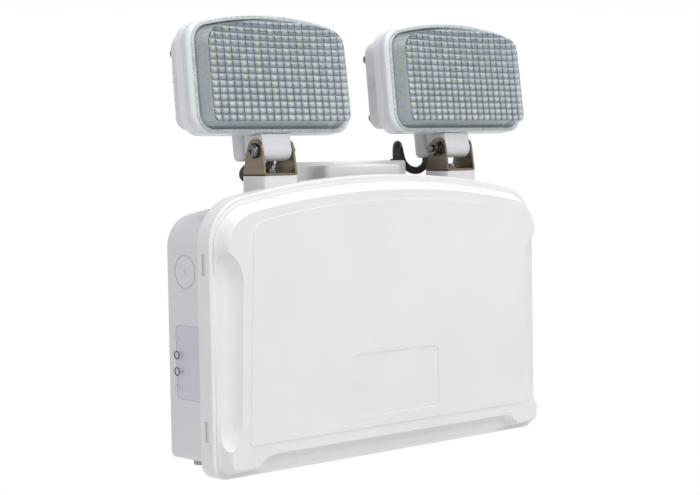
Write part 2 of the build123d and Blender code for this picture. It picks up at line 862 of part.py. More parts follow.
def make_post_screw(side):
    """Screw that holds a bracket on its post."""
    top = post_top + pan_clearance + sheet + post_washer_height + pan_clearance
    plane = Plane(origin=(side * post_spacing / 2, -post_centre, top), z_dir=(0, 0, 1))
    return pan_screw(plane, post_screw_head, post_screw_head_height, post_screw_radius,
                     post_screw_length)


def make_post_washer(side):
    """Washer between the bracket and its screw."""
    low = post_top + pan_clearance + sheet + pan_clearance
    centre = side * post_spacing / 2
    washer = rod(post_washer_radius, (centre, -post_centre, low),
                 (centre, -post_centre, low + post_washer_height))
    return washer - rod(post_screw_radius + 0.05, (centre, -post_centre, low - 1),
                        (centre, -post_centre, low + post_washer_height + 1))


def make_pivot_screw(side):
    """Tilt screw through both ears and the head's barrel."""
    head_face = side * (post_spacing + bracket_width) / 2
    length = bracket_width + 2 * pivot_washer_height + pivot_nut_height + pivot_thread_end
    plane = Plane(origin=(head_face, -pivot_depth, pivot_z), x_dir=(0, 1, 0), z_dir=(side, 0, 0))
    return pan_screw(plane, pivot_head_radius, pivot_head_height, pivot_screw_radius, length)


def make_pivot_washers(side):
    """Plain washer and spring washer under the nut."""
    sign = -side
    face = side * post_spacing / 2 + sign * bracket_width / 2
    rings = []
    for index, radius in enumerate((pivot_washer_radius, pivot_washer_radius - 0.9)):
        inner = face + sign * index * pivot_washer_height
        outer = inner + sign * pivot_washer_height
        ring = rod(radius, (inner, -pivot_depth, pivot_z), (outer, -pivot_depth, pivot_z))
        ring -= rod(pivot_screw_radius + 0.05, (inner - sign, -pivot_depth, pivot_z),
                    (outer + sign, -pivot_depth, pivot_z))
        rings.append(ring)
    return Compound(children=rings)


def make_pivot_nut(side):
    """Hexagon nut on the inner end of the tilt screw."""
    sign = -side
    face = side * post_spacing / 2 + sign * (bracket_width / 2 + 2 * pivot_washer_height)
    plane = Plane(origin=(face, -pivot_depth, pivot_z), x_dir=(0, 1, 0), z_dir=(sign, 0, 0))
    nut = plane * extrude(RegularPolygon(pivot_nut_size, 6, major_radius=False),
                          amount=pivot_nut_height)
    cone = plane * Pos(0, 0, pivot_nut_height - 6.0) * Cone(
        pivot_nut_size * 1.1547 + 5.6, pivot_nut_size * 1.1547 - 0.4, 6.0,
        align=(Align.CENTER, Align.CENTER, Align.MIN))
    nut = nut & cone
    return nut - rod(pivot_screw_radius + 0.05, (face - sign, -pivot_depth, pivot_z),
                     (face + sign * (pivot_nut_height + 1), -pivot_depth, pivot_z))


def bezel_outline(inset):
    """Bezel outline, drawn in by an inset, in the head's own frame."""
    return arched(bezel_half - inset, bezel_top_half - inset, bezel_low + inset, bezel_top - inset,
                  face_arch + 5.0 - inset, bezel_corner - inset, bezel_low_corner - inset)


def foot_outline(inset=0.0):
    """Outline of the lens where it leaves the bezel."""
    return arched(lens_foot_half - inset, lens_foot_half - 1.0 - inset, lens_foot_low + inset,
                  lens_foot_top - inset, face_arch + 2.0 - inset, lens_foot_corner - inset,
                  lens_foot_corner - 2.0 - inset)


def face_outline(inset=0.0):
    """Outline of the lens's front face."""
    return arched(face_low_half - inset, face_top_half - inset, face_low + inset,
                  face_top - inset, face_arch - inset, face_top_corner - inset,
                  face_low_corner - inset)


def make_head_housing(side):
    """Rear shell of a lamp head, with side ribs, arm, barrel, web and lead entry."""
    shell = taper(rear_outline(rear_taper), -rear_back, rear_outline(0), -bezel_back)
    shell = fillet(shell.faces().sort_by(Axis.Y)[-1].edges(), rear_edge)
    for flank in (-1, 1):
        for index in range(rear_rib_count):
            z = rear_rib_low + index * rear_rib_pitch
            outer = bezel_half - rear_inset
            x0, x1 = sorted((flank * (outer - 4.0), flank * (outer + 0.2)))
            shell += block(x0, x1, -rear_back + 7.0, -bezel_back, z - rear_rib / 2,
                           z + rear_rib / 2)
    shell -= taper(rear_outline(rear_taper + rear_wall), -rear_back + rear_wall,
                   rear_outline(rear_wall), -bezel_back + 1)
    housing = shell + make_head_arm()
    for x, z in head_screw_points():
        housing += rod(head_boss_radius, (x, rear_back - rear_wall + 0.5, z), (x, boss_meeting, z))
        housing -= rod(head_screw_radius + hole_clearance, (x, rear_back + 1, z),
                       (x, boss_meeting - 1, z))
        housing -= rod(head_screw_head + 0.2, (x, rear_back + 1, z),
                       (x, rear_back - head_screw_sunk, z))
    housing -= rod(pivot_screw_radius + pivot_running, (-arm_width, 0, 0), (arm_width, 0, 0))
    across = -side * lead_entry_across
    housing -= rod(lead_radius + lead_entry_clearance, (across, lead_entry_back, lug_low - 1),
                   (across, lead_entry_back, rear_low() + 6.0))
    return head_place(side) * housing


def make_head_arm():
    """Arm under a lamp head: a barrel on the pivot, the lead's lug and the web between them."""
    top = rear_low() + 3.5
    under = bezel_low - 0.3
    half = arm_width / 2
    foot = rear_low() + 1.5
    arm = block(-half, half, -arm_half_thickness, arm_half_thickness, 0, under)
    neck = block(-half, half, -bezel_back - 6.0, -bezel_back, 0, foot)
    barrel = rod(barrel_radius, (-half, 0, 0), (half, 0, 0))
    lug = block(-lug_half_width, lug_half_width, -lug_back, -lug_front, lug_low, top)
    lug = fillet(lug.edges().filter_by(Axis.Z), lug_corner)
    lug = fillet(lug.faces().sort_by(Axis.Z)[0].edges(), 3.0)
    reach = lug_front + 1.0
    outline = Polyline((2.0, 0), (reach, lug_low + 5.0), (reach, foot), (bezel_back + 0.2, foot),
                       (bezel_back + 0.2, under), (2.0, under), close=True)
    web = extrude(Plane(origin=(0, 0, 0), x_dir=(0, 1, 0), z_dir=(1, 0, 0)) * make_face(outline),
                  amount=web_thickness / 2, both=True)
    return arm + neck + barrel + lug + web


def rear_outline(inset):
    """Outline of the rear shell, drawn in by an inset."""
    return bezel_outline(rear_inset + inset)


def rear_low():
    """Foot of the rear shell at its front edge."""
    return bezel_low + rear_inset


def head_screw_points():
    """Places of the four screws that hold the rear shell on the bezel."""
    return [(side * head_screw_x, z) for side in (-1, 1) for z in head_screw_heights]


def make_bezel(side):
    """Front frame of a lamp head: ledge for the lens, spigot and four screw bosses."""
    bezel = slab(bezel_outline(0), -bezel_back, bezel_front)
    bezel = fillet(bezel.faces().sort_by(Axis.Y)[0].edges(), bezel_edge)
    bezel -= slab(foot_outline(-gasket_reach), -bezel_ledge, bezel_front + 1)
    bezel -= slab(foot_outline(bezel_ledge_reach), -bezel_back - 1, 0)
    inset = rear_wall + spigot_clearance
    spigot = slab(rear_outline(inset), -bezel_back - spigot_length, -bezel_back)
    spigot -= slab(rear_outline(inset + spigot_wall), -bezel_back - spigot_length - 1, 0)
    bezel += spigot
    for x, z in head_screw_points():
        bezel += rod(bezel_boss_radius, (x, boss_meeting - 0.3, z), (x, bezel_ledge, z))
        bezel -= rod(head_screw_radius - 0.05, (x, boss_meeting + 1, z), (x, bezel_ledge - 1, z))
    return head_place(side) * bezel


def make_gasket(side):
    """Grey seal between the bezel and the lens."""
    ring = slab(foot_outline(0.05 - gasket_reach), -gasket_back, gasket_front)
    ring -= slab(foot_outline(-0.05), -gasket_back - 1, gasket_front + 1)
    return head_place(side) * ring


def make_lens(side):
    """Clear lens: a drafted wall and a front face cut into rows and columns of prisms."""
    outer = slab(foot_outline(), -gasket_back, lens_foot_front)
    outer += taper(foot_outline(), lens_foot_front, face_outline(), face_front)
    inner = slab(foot_outline(lens_wall), -gasket_back - 1, lens_foot_front)
    inner += taper(foot_outline(lens_wall), lens_foot_front, face_outline(lens_wall),
                   face_front - lens_wall)
    lens = outer - inner
    width = 2 * face_low_half
    pitch_x = (width - 2 * prism_margin) / prism_columns
    pitch_z = (face_top - face_low - 2 * prism_margin) / prism_rows
    notch = make_face(Polyline((-prism_groove, 0), (0, -prism_groove), (prism_groove, 0), close=True))
    for index in range(1, prism_columns):
        x = -width / 2 + prism_margin + index * pitch_x
        plane = Plane(origin=(x, -face_front, face_low - 5), x_dir=(1, 0, 0), z_dir=(0, 0, 1))
        lens -= extrude(plane * mirror(notch, about=Plane.XZ), amount=face_top - face_low + 10)
    for index in range(1, prism_rows):
        z = face_low + prism_margin + index * pitch_z
        plane = Plane(origin=(-width / 2 - 5, -face_front, z), x_dir=(0, 0, 1), z_dir=(1, 0, 0))
        lens -= extrude(plane * notch, amount=width + 10)
    return head_place(side) * lens


def make_led_board(side):
    """Aluminium LED board behind the lens."""
    board = arched(board_half, board_half, board_low, board_high, face_arch, 8.0, 3.0)
    return head_place(side) * slab(board, board_front - board_thickness, board_front)


def make_leds(side):
    """Grid of surface-mounted LEDs on the board."""
    leds = []
    half = led_size / 2
    middle = (board_low + board_high) / 2 - 2.0
    for column in range(led_columns):
        for row in range(led_rows):
            x = (column - (led_columns - 1) / 2) * led_pitch_x
            z = middle + (row - (led_rows - 1) / 2) * led_pitch_z
            leds.append(block(x - half, x + half, board_front, board_front + led_height,
                              z - half, z + half))
    return Compound(children=[head_place(side) * led for led in leds])


def make_reflector(side):
    """White frame that carries the LED board inside the lens."""
    back = board_front - board_thickness
    outer = foot_outline(lens_wall + lens_seat)
    inner = foot_outline(lens_wall + lens_seat + reflector_wall)
    half = board_half - reflector_window
    window = arched(half, half, board_low + reflector_window, board_high - reflector_window,
                    face_arch, 8.0, 3.0)
    frame = slab(outer, back - reflector_base, lens_foot_front - 1.5)
    frame -= slab(inner, back, lens_foot_front)
    frame -= slab(window, back - reflector_base - 1, back + 1)
    return head_place(side) * frame


def make_head_screws(side):
    """Four screws in the back of a lamp head."""
    screws = []
    for x, z in head_screw_points():
        plane = Plane(origin=(x, rear_back - head_screw_sunk, z), z_dir=(0, 1, 0))
        head = Cylinder(head_screw_head, 2.0, align=(Align.CENTER, Align.CENTER, Align.MIN))
        head = fillet(head.edges().sort_by(Axis.Z)[-1], 0.9)
        shank = Cylinder(head_screw_radius - 0.1, head_screw_length,
                         align=(Align.CENTER, Align.CENTER, Align.MAX))
        screws.append(head_place(side) * (plane * (head + shank)))
    return Compound(children=screws)


parts = {
    "back_box": make_back_box(),
    "front_cover": make_front_cover(),
    "cover_seal": make_cover_seal(),
    "indicator_label": make_label(),
    "charge_indicator": make_indicator(indicator_heights[0]),
    "lamp_indicator": make_indicator(indicator_heights[1]),
    "test_button": make_test_button(),
    "test_switch": make_test_switch(),
    "battery_pack": make_battery_pack(),
    "battery_strap": make_battery_strap(),
    "control_board": make_control_board(),
    "board_screws": make_board_screws(),
    "transformer": make_transformer(),
    "capacitors": make_capacitors(),
    "fuse_holder": make_fuse_holder(),
    "terminal_block": make_terminal_block(),
}
for name, side in (("left", -1), ("right", 1)):
    parts[f"{name}_cable_gland"] = make_gland(side)
    parts[f"{name}_lamp_cord"] = make_lead(side)
    parts[f"{name}_bracket"] = make_bracket(side)
    parts[f"{name}_post_screw"] = make_post_screw(side)
    parts[f"{name}_post_washer"] = make_post_washer(side)
    parts[f"{name}_pivot_screw"] = make_pivot_screw(side)
    parts[f"{name}_pivot_washers"] = make_pivot_washers(side)
    parts[f"{name}_pivot_nut"] = make_pivot_nut(side)
    parts[f"{name}_head_housing"] = make_head_housing(side)
    parts[f"{name}_bezel"] = make_bezel(side)
    parts[f"{name}_lens_gasket"] = make_gasket(side)
    parts[f"{name}_lens"] = make_lens(side)
    parts[f"{name}_led_board"] = make_led_board(side)
    parts[f"{name}_leds"] = make_leds(side)
    parts[f"{name}_reflector"] = make_reflector(side)
    parts[f"{name}_head_screws"] = make_head_screws(side)

os.makedirs("parts", exist_ok=True)
for node, solid in parts.items():
    export_step(solid, f"parts/{node}.step")
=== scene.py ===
import json
import math
import random

import bmesh
import bpy
from mathutils import Matrix, Vector

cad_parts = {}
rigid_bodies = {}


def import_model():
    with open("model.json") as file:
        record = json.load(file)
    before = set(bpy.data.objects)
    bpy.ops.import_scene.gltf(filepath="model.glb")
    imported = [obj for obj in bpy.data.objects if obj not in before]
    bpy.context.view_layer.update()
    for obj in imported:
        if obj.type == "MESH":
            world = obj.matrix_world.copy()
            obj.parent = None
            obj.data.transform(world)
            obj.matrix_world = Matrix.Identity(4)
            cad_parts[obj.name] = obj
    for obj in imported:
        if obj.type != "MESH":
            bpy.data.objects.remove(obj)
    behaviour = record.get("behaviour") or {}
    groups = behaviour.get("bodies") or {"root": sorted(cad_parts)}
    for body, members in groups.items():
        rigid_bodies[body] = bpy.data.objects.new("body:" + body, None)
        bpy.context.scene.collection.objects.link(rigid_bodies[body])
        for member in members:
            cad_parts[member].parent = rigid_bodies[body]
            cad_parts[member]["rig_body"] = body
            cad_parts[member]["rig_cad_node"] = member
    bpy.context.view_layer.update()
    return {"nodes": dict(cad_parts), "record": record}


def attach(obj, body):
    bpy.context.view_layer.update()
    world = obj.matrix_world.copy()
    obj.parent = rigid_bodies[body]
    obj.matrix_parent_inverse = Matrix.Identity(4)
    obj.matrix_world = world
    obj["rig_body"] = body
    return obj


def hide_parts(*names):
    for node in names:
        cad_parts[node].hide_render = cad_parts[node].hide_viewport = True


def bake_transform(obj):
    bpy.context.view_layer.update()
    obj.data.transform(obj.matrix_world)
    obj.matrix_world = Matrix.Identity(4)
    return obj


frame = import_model()
nodes = frame["nodes"]
scene = bpy.context.scene

# The light's own sizes, in metres. X is across, Z is up, and the front faces -Y.
post_spacing = 0.1566
pivot_depth = 0.0312
pivot_z = 0.1049
head_lean = math.radians(6.5)
sides = (("left", -1), ("right", 1))


def head_frame(side):
    """Place of a lamp head's own axes: across, back and up from its tilt pivot."""
    pivot = Matrix.Translation((side * post_spacing / 2, -pivot_depth, pivot_z))
    return pivot @ Matrix.Rotation(-head_lean, 4, "X")


# Materials. Noise scales are per metre, and depths of relief are in metres.

drift_scale = 14.0
scratch_scale = 900.0
rubber_grain = 700.0
flow_scale = 160.0
prism_flow_scale = 420.0
clear_ior = 1.49
prism_alpha = 0.82


def new_material(name):
    """New material, and its principled shader."""
    material = bpy.data.materials.new(name)
    material.use_nodes = True
    shader = material.node_tree.nodes["Principled BSDF"]
    return material, shader


def add_node(material, kind, **values):
    """Shader node of a kind in a material or world, with its input values set by name."""
    node = material.node_tree.nodes.new(kind)
    for key, value in values.items():
        node.inputs[key.replace("_", " ")].default_value = value
    return node


def link(material, source, target):
    """Join one node's output to another's input."""
    material.node_tree.links.new(source, target)


def object_noise(material, scale, detail=3.0, stretch=(1, 1, 1)):
    """Noise on the piece's own coordinates, at a scale per metre."""
    where = add_node(material, "ShaderNodeTexCoord")
    mapping = add_node(material, "ShaderNodeMapping", Scale=stretch)
    noise = add_node(material, "ShaderNodeTexNoise", Scale=scale, Detail=detail)
    link(material, where.outputs["Object"], mapping.inputs["Vector"])
    link(material, mapping.outputs["Vector"], noise.inputs["Vector"])
    return noise.outputs["Fac"]


def blend_colours(material, factor, low, high, start=0.35, end=0.65):
    """Colour ramp from one colour to another over a factor."""
    ramp = add_node(material, "ShaderNodeValToRGB")
    ramp.color_ramp.elements[0].position = start
    ramp.color_ramp.elements[1].position = end
    ramp.color_ramp.elements[0].color = (*low, 1)
    ramp.color_ramp.elements[1].color = (*high, 1)
    link(material, factor, ramp.inputs["Fac"])
    return ramp.outputs["Color"]


def about(colour, change):
    """A colour a little darker, and the same a little lighter."""
    return [c * (1 - change) for c in colour], [min(1.0, c * (1 + change)) for c in colour]


def spread(material, factor, low, high):
    """Factor moved into a range."""
    node = add_node(material, "ShaderNodeMapRange", To_Min=low, To_Max=high)
    link(material, factor, node.inputs["Value"])
    return node.outputs["Result"]


def bump(material, shader, height, strength, distance):
    """Relief on a shader from a height."""
    node = add_node(material, "ShaderNodeBump", Strength=strength, Distance=distance)
    link(material, height, node.inputs["Height"])
    link(material, node.outputs["Normal"], shader.inputs["Normal"])


def moulded(name, colour, roughness, grain=1400.0, depth=0.00003):
    """Moulded plastic: fine spark texture, slow colour drift and an uneven sheen."""
    material, shader = new_material(name)
    drift = object_noise(material, drift_scale, 2.0)
    low, high = about(colour, 0.02)
    link(material, blend_colours(material, drift, low, high), shader.inputs["Base Color"])
    fine = object_noise(material, grain, 4.0)
    link(material, spread(material, fine, roughness - 0.05, roughness + 0.05),
         shader.inputs["Roughness"])
    bump(material, shader, fine, 0.25, depth)
    return material


def brushed(name, colour, roughness, stretch, vary=0.18):
    """Brushed sheet metal: fine scratches along one direction."""
    material, shader = new_material(name)
    shader.inputs["Metallic"].default_value = 1.0
    lines = object_noise(material, scratch_scale, 5.0, stretch)
    low, high = about(colour, vary)
    link(material, blend_colours(material, lines, low, high, 0.3, 0.7), shader.inputs["Base Color"])
    link(material, spread(material, lines, roughness - 0.08, roughness + 0.1),
         shader.inputs["Roughness"])
    bump(material, shader, lines, 0.2, 0.00004)
    return material


def rubber(name, colour, roughness):
    """Rubber: fine uneven grain and a dull sheen."""
    material, shader = new_material(name)
    fine = object_noise(material, rubber_grain, 4.0)
    low = [c * 0.8 for c in colour]
    high = [c * 1.25 for c in colour]
    link(material, blend_colours(material, fine, low, high), shader.inputs["Base Color"])
    link(material, spread(material, fine, roughness - 0.07, roughness + 0.07),
         shader.inputs["Roughness"])
    bump(material, shader, fine, 0.3, 0.00005)
    return material


def clear(name, colour, alpha, roughness):
    """Clear moulding, tinted and part see-through."""
    material, shader = new_material(name)
    flow = object_noise(material, flow_scale, 3.0)
    low = [c * 0.94 for c in colour]
    link(material, blend_colours(material, flow, low, colour), shader.inputs["Base Color"])
    shader.inputs["Alpha"].default_value = alpha
    shader.inputs["IOR"].default_value = clear_ior
    link(material, spread(material, flow, roughness * 0.7, roughness * 1.3),
         shader.inputs["Roughness"])
    bump(material, shader, flow, 0.1, 0.0001)
    return material


def prism_plastic(name):
    """Clear prisms: painted highlights and shade in light and dark bands, and painted yellow LED
    images, from the piece's attributes.
    """
    material, shader = new_material(name)
    painted_shading = add_node(material, "ShaderNodeAttribute")
    painted_shading.attribute_name = "painted_shading"
    painted_image = add_node(material, "ShaderNodeAttribute")
    painted_image.attribute_name = "painted_led_image"
    # Colour ramp from painted shade, through a mid tone, to painted highlight
    ramp = add_node(material, "ShaderNodeValToRGB")
    ramp.color_ramp.elements[0].color = (0.08, 0.11, 0.135, 1)
    ramp.color_ramp.elements[1].color = (0.86, 0.90, 0.92, 1)
    middle = ramp.color_ramp.elements.new(0.5)
    middle.color = (0.42, 0.48, 0.52, 1)
    link(material, painted_shading.outputs["Fac"], ramp.inputs["Fac"])
    # Yellow is mixed in where the prisms show painted LED images
    mix = add_node(material, "ShaderNodeMix")
    mix.data_type = "RGBA"
    mix.inputs["B"].default_value = (0.90, 0.80, 0.03, 1)
    link(material, painted_image.outputs["Fac"], mix.inputs["Factor"])
    link(material, ramp.outputs["Color"], mix.inputs["A"])
    link(material, mix.outputs["Result"], shader.inputs["Base Color"])
    shader.inputs["Alpha"].default_value = prism_alpha
    shader.inputs["IOR"].default_value = clear_ior
    flow = object_noise(material, prism_flow_scale, 3.0)
    link(material, spread(material, flow, 0.05, 0.14), shader.inputs["Roughness"])
    bump(material, shader, flow, 0.25, 0.0002)
    return material


finishes = {
    "box_plastic": moulded("box_plastic", (0.755, 0.75, 0.76), 0.5),
    "cover_plastic": moulded("cover_plastic", (0.83, 0.825, 0.81), 0.42),
    "head_plastic": moulded("head_plastic", (0.74, 0.74, 0.75), 0.45),
    "bezel_plastic": moulded("bezel_plastic", (0.80, 0.805, 0.81), 0.4),
    "seal_rubber": rubber("seal_rubber", (0.03, 0.03, 0.032), 0.6),
    "gasket_rubber": rubber("gasket_rubber", (0.55, 0.58, 0.57), 0.45),
    "label_film": moulded("label_film", (0.66, 0.66, 0.715), 0.35, 600.0, 0.00001),
    "indicator_clear": clear("indicator_clear", (0.78, 0.80, 0.82), 0.75, 0.15),
    "button_plastic": moulded("button_plastic", (0.34, 0.35, 0.37), 0.4),
    "switch_plastic": moulded("switch_plastic", (0.02, 0.02, 0.022), 0.4),
    "battery_sleeve": moulded("battery_sleeve", (0.02, 0.10, 0.30), 0.25, 300.0, 0.0001),
    "strap_steel": brushed("strap_steel", (0.55, 0.55, 0.56), 0.35, (0.02, 1, 1)),
    "board_green": moulded("board_green", (0.01, 0.12, 0.04), 0.3, 500.0, 0.00002),
    "screw_steel": brushed("screw_steel", (0.15, 0.145, 0.14), 0.14, (1, 1, 1), 0.3),
    "transformer_core": brushed("transformer_core", (0.10, 0.10, 0.11), 0.4, (1, 0.02, 1)),
    "capacitor_sleeve": moulded("capacitor_sleeve", (0.01, 0.012, 0.04), 0.25),
    "terminal_plastic": moulded("terminal_plastic", (0.72, 0.72, 0.68), 0.4),
    "gland_rubber": rubber("gland_rubber", (0.012, 0.012, 0.013), 0.5),
    "cord_rubber": rubber("cord_rubber", (0.010, 0.010, 0.011), 0.42),
    "bracket_steel": brushed("bracket_steel", (0.20, 0.165, 0.12), 0.3, (1, 0.03, 1)),
    "lens_clear": clear("lens_clear", (0.70, 0.78, 0.83), 0.3, 0.08),
    # The prisms carry painted highlights, painted shade and painted LED images
    "lens_prism": prism_plastic("lens_prism"),
    # Near-black finish for the prisms' sides: painted shade in the grooves between them
    "lens_groove_painted_shade": clear("lens_groove_painted_shade", (0.035, 0.05, 0.065), 0.9, 0.2),
    "bezel_flange": moulded("bezel_flange", (0.70, 0.73, 0.74), 0.15, 900.0, 0.00001),
    "blank_ring": moulded("blank_ring", (0.55, 0.55, 0.60), 0.4, 600.0, 0.00001),
    "window_ring": moulded("window_ring", (0.012, 0.012, 0.013), 0.4, 900.0, 0.00001),
    "led_board_white": moulded("led_board_white", (0.72, 0.77, 0.80), 0.45),
    "led_yellow": moulded("led_yellow", (0.98, 0.80, 0.02), 0.3),
    "reflector_white": moulded("reflector_white", (0.80, 0.84, 0.87), 0.35),
}

slot_of = {part["node"]: part["material_slot"] for part in frame["record"]["subparts"]}
body_of = {}
for body, members in frame["record"]["behaviour"]["bodies"].items():
    for member in members:
        body_of[member] = body


def dress(obj, finish):
    """One finish all over a piece."""
    obj.data.materials.clear()
    obj.data.materials.append(finishes[finish])


for node, obj in nodes.items():
    dress(obj, slot_of[node])


# Helpers for pieces

merge_distance = 2e-6
flat_angle = math.radians(0.4)
smooth_angle = math.radians(35.0)
prism_smooth_angle = math.radians(50.0)


def select_only(obj):
    """Make a piece the only one selected, and the active one."""
    bpy.ops.object.select_all(action="DESELECT")
    obj.select_set(True)
    bpy.context.view_layer.objects.active = obj


def apply_modifiers(obj):
    """Make a piece's modifiers part of its mesh."""
    select_only(obj)
    for modifier in list(obj.modifiers):
        bpy.ops.object.modifier_apply(modifier=modifier.name)


def round_edges(obj, width, segments, angle=32.0):
    """Bevel every edge that is sharper than an angle."""
    edge = obj.modifiers.new("edge", "BEVEL")
    edge.width = width
    edge.segments = segments
    edge.limit_method = "ANGLE"
    edge.angle_limit = math.radians(angle)
    apply_modifiers(obj)


def free_copy(node, name):
    """Copy of a CAD node with its loose triangles merged and flat areas made whole."""
    obj = nodes[node].copy()
    obj.data = nodes[node].data.copy()
    obj.name = name
    obj.data.name = name
    obj.parent = None
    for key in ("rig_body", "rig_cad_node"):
        if key in obj:
            del obj[key]
    obj.hide_viewport = False
    obj.hide_render = False
    scene.collection.objects.link(obj)
    obj.hide_set(False)
    mesh = bmesh.new()
    mesh.from_mesh(obj.data)
    bmesh.ops.remove_doubles(mesh, verts=mesh.verts, dist=merge_distance)
    bmesh.ops.dissolve_limit(mesh, angle_limit=flat_angle, verts=mesh.verts, edges=mesh.edges)
    mesh.to_mesh(obj.data)
    mesh.free()
    return obj


def even_shading(obj):
    """Smooth shading that keeps flat faces flat and hard edges hard."""
    select_only(obj)
    bpy.ops.object.shade_smooth_by_angle(angle=smooth_angle)
    weighted = obj.modifiers.new("normals", "WEIGHTED_NORMAL")
    weighted.keep_sharp = True
    apply_modifiers(obj)


def carry(obj, node):
    """Let a piece stand for a CAD node and move with its body."""
    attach(obj, body_of[node])
    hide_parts(node)


def settle(obj, place):
    """Turn a piece drawn in a head's own axes and millimetres into its place in the light."""
    obj.data.transform(place @ Matrix.Scale(0.001, 4))
    obj.data.update()


def cut_off(obj, point, normal):
    """Take away what lies past a plane and close the cut."""
    select_only(obj)
    bpy.ops.object.mode_set(mode="EDIT")
    bpy.ops.mesh.select_all(action="SELECT")
    bpy.ops.mesh.bisect(plane_co=point, plane_no=normal, use_fill=True, clear_outer=True)
    bpy.ops.object.mode_set(mode="OBJECT")


def seam_line(obj, point, normal):
    """Score a loop round a piece."""
    select_only(obj)
    bpy.ops.object.mode_set(mode="EDIT")
    bpy.ops.mesh.select_all(action="SELECT")
    bpy.ops.mesh.bisect(plane_co=point, plane_no=normal)
    bpy.ops.object.mode_set(mode="OBJECT")


def join_all(pieces, name):
    """One object from copies of a part."""
    bpy.ops.object.select_all(action="DESELECT")
    for piece in pieces:
        piece.select_set(True)
    bpy.context.view_layer.objects.active = pieces[0]
    bpy.ops.object.join()
    pieces[0].name = name
    pieces[0].data.name = name
    return pieces[0]


def repeat(pattern, places, name):
    """Copies of a pattern piece at places, as one object; the pattern itself goes."""
    copies = []
    for place in places:
        copy = pattern.copy()
        copy.data = pattern.data.copy()
        copy.data.transform(place)
        scene.collection.objects.link(copy)
        copies.append(copy)
    bpy.data.objects.remove(pattern)
    return join_all(copies, name)


def rounded_copy(node, width):
    """Copy of a CAD node with soft moulded edges, in the node's place."""
    obj = free_copy(node, f"{node}_piece")
    round_edges(obj, width, 2)
    even_shading(obj)
    carry(obj, node)


# Camera

camera_place = (-0.74775, -0.83591, 0.10261)
camera_yaw = math.radians(42.33)
camera_pitch = math.radians(-3.144)
camera_roll = math.radians(-0.978)

camera_data = bpy.data.cameras.new("camera")
camera_data.lens = 88.385
camera_data.sensor_width = 36.0
camera_data.sensor_fit = "HORIZONTAL"
camera_data.clip_start = 0.05
camera_data.clip_end = 20.0
camera = bpy.data.objects.new("camera", camera_data)
scene.collection.objects.link(camera)
ahead = Vector((math.sin(camera_yaw) * math.cos(camera_pitch),
                math.cos(camera_yaw) * math.cos(camera_pitch), math.sin(camera_pitch)))
level = Vector((math.cos(camera_yaw), -math.sin(camera_yaw), 0))
above = level.cross(ahead)
aside = level * math.cos(camera_roll) + above * math.sin(camera_roll)
above = above * math.cos(camera_roll) - level * math.sin(camera_roll)
turn = Matrix((aside, above, -ahead)).transposed().to_4x4()
camera.matrix_world = Matrix.Translation(camera_place) @ turn
scene.camera = camera


# Lamp leads

lead_diameter = 0.005
lead_sides = 16
lead_routes = {
    "left": [(-46.7, 11.1, 91.8), (-46.7, 11.1, 97.6), (-46.3, 11.3, 103.4), (-48.0, 10.2, 108.0),
             (-52.8, 7.0, 107.8), (-55.6, 5.4, 102.8), (-58.0, 5.0, 96.4), (-63.0, 5.0, 90.8),
             (-70.0, 5.4, 87.6), (-77.2, 6.2, 87.0), (-82.4, 7.8, 89.8), (-81.6, 9.6, 94.0),
             (-77.4, 11.4, 95.6), (-74.0, 12.0, 97.6), (-73.8, 11.5, 101.1)],
    "right": [(46.7, 11.1, 91.8), (46.7, 11.1, 97.6), (46.3, 11.3, 103.4), (48.0, 10.2, 108.0),
              (52.8, 7.0, 107.8), (55.6, 5.4, 102.8), (57.6, 5.4, 96.2), (61.8, 7.0, 91.2),
              (67.8, 9.4, 89.6), (72.4, 11.0, 92.6), (73.8, 12.0, 96.3), (73.8, 11.5, 101.1)],
}
# Where each lead starts and ends its turn with the bracket, and then with the head
lead_pan_turn = {"left": ((-0.0480, -0.0108, 0.1000), (-0.0582, -0.0062, 0.1010)),
                 "right": ((0.0480, -0.0108, 0.1000), (0.0582, -0.0062, 0.1010))}
lead_tilt_turn = {"left": ((-0.0655, -0.0070, 0.0890), (-0.0745, -0.0118, 0.0945)),
                  "right": ((0.0640, -0.0085, 0.0885), (0.0745, -0.0118, 0.0925))}


def lead_line(name, points):
    """Smooth centreline of a lead through its control points, as points along it."""
    curve = bpy.data.curves.new(name, "CURVE")
    curve.dimensions = "3D"
    curve.resolution_u = 8
    spline = curve.splines.new("NURBS")
    spline.points.add(len(points) - 1)
    for point, (x, depth, z) in zip(spline.points, points):
        point.co = (x / 1000, -depth / 1000, z / 1000, 1)
    spline.order_u = 3
    spline.use_endpoint_u = True
    guide = bpy.data.objects.new(name, curve)
    scene.collection.objects.link(guide)
    bpy.context.view_layer.update()
    mesh = bpy.data.meshes.new_from_object(guide)
    line = [v.co.copy() for v in mesh.vertices]
    bpy.data.meshes.remove(mesh)
    bpy.data.objects.remove(guide)
    return line


def line_length(line):
    """Length along a line's points."""
    return sum((b - a).length for a, b in zip(line, line[1:]))


def lead_tube(name, line):
    """Round tube along a line, with closed ends."""
    mesh = bmesh.new()
    ahead = (line[1] - line[0]).normalized()
    aside = ahead.orthogonal().normalized()
    rings = []
    for index, point in enumerate(line):
        before = line[max(index - 1, 0)]
        after = line[min(index + 1, len(line) - 1)]
        turned = (after - before).normalized()
        aside = (ahead.rotation_difference(turned) @ aside).normalized()
        ahead = turned
        other = ahead.cross(aside)
        ring = []
        for step in range(lead_sides):
            angle = 2 * math.pi * step / lead_sides
            out = aside * math.cos(angle) + other * math.sin(angle)
            ring.append(mesh.verts.new(point + out * lead_diameter / 2))
        rings.append(ring)
    for one, two in zip(rings, rings[1:]):
        for step in range(lead_sides):
            after = (step + 1) % lead_sides
            mesh.faces.new((one[step], one[after], two[after], two[step]))
    mesh.faces.new(list(reversed(rings[0])))
    mesh.faces.new(rings[-1])
    bmesh.ops.recalc_face_normals(mesh, faces=mesh.faces)
    data = bpy.data.meshes.new(name)
    mesh.to_mesh(data)
    mesh.free()
    for face in data.polygons:
        face.use_smooth = True
    tube = bpy.data.objects.new(name, data)
    scene.collection.objects.link(tube)
    dress(tube, "cord_rubber")
    return tube


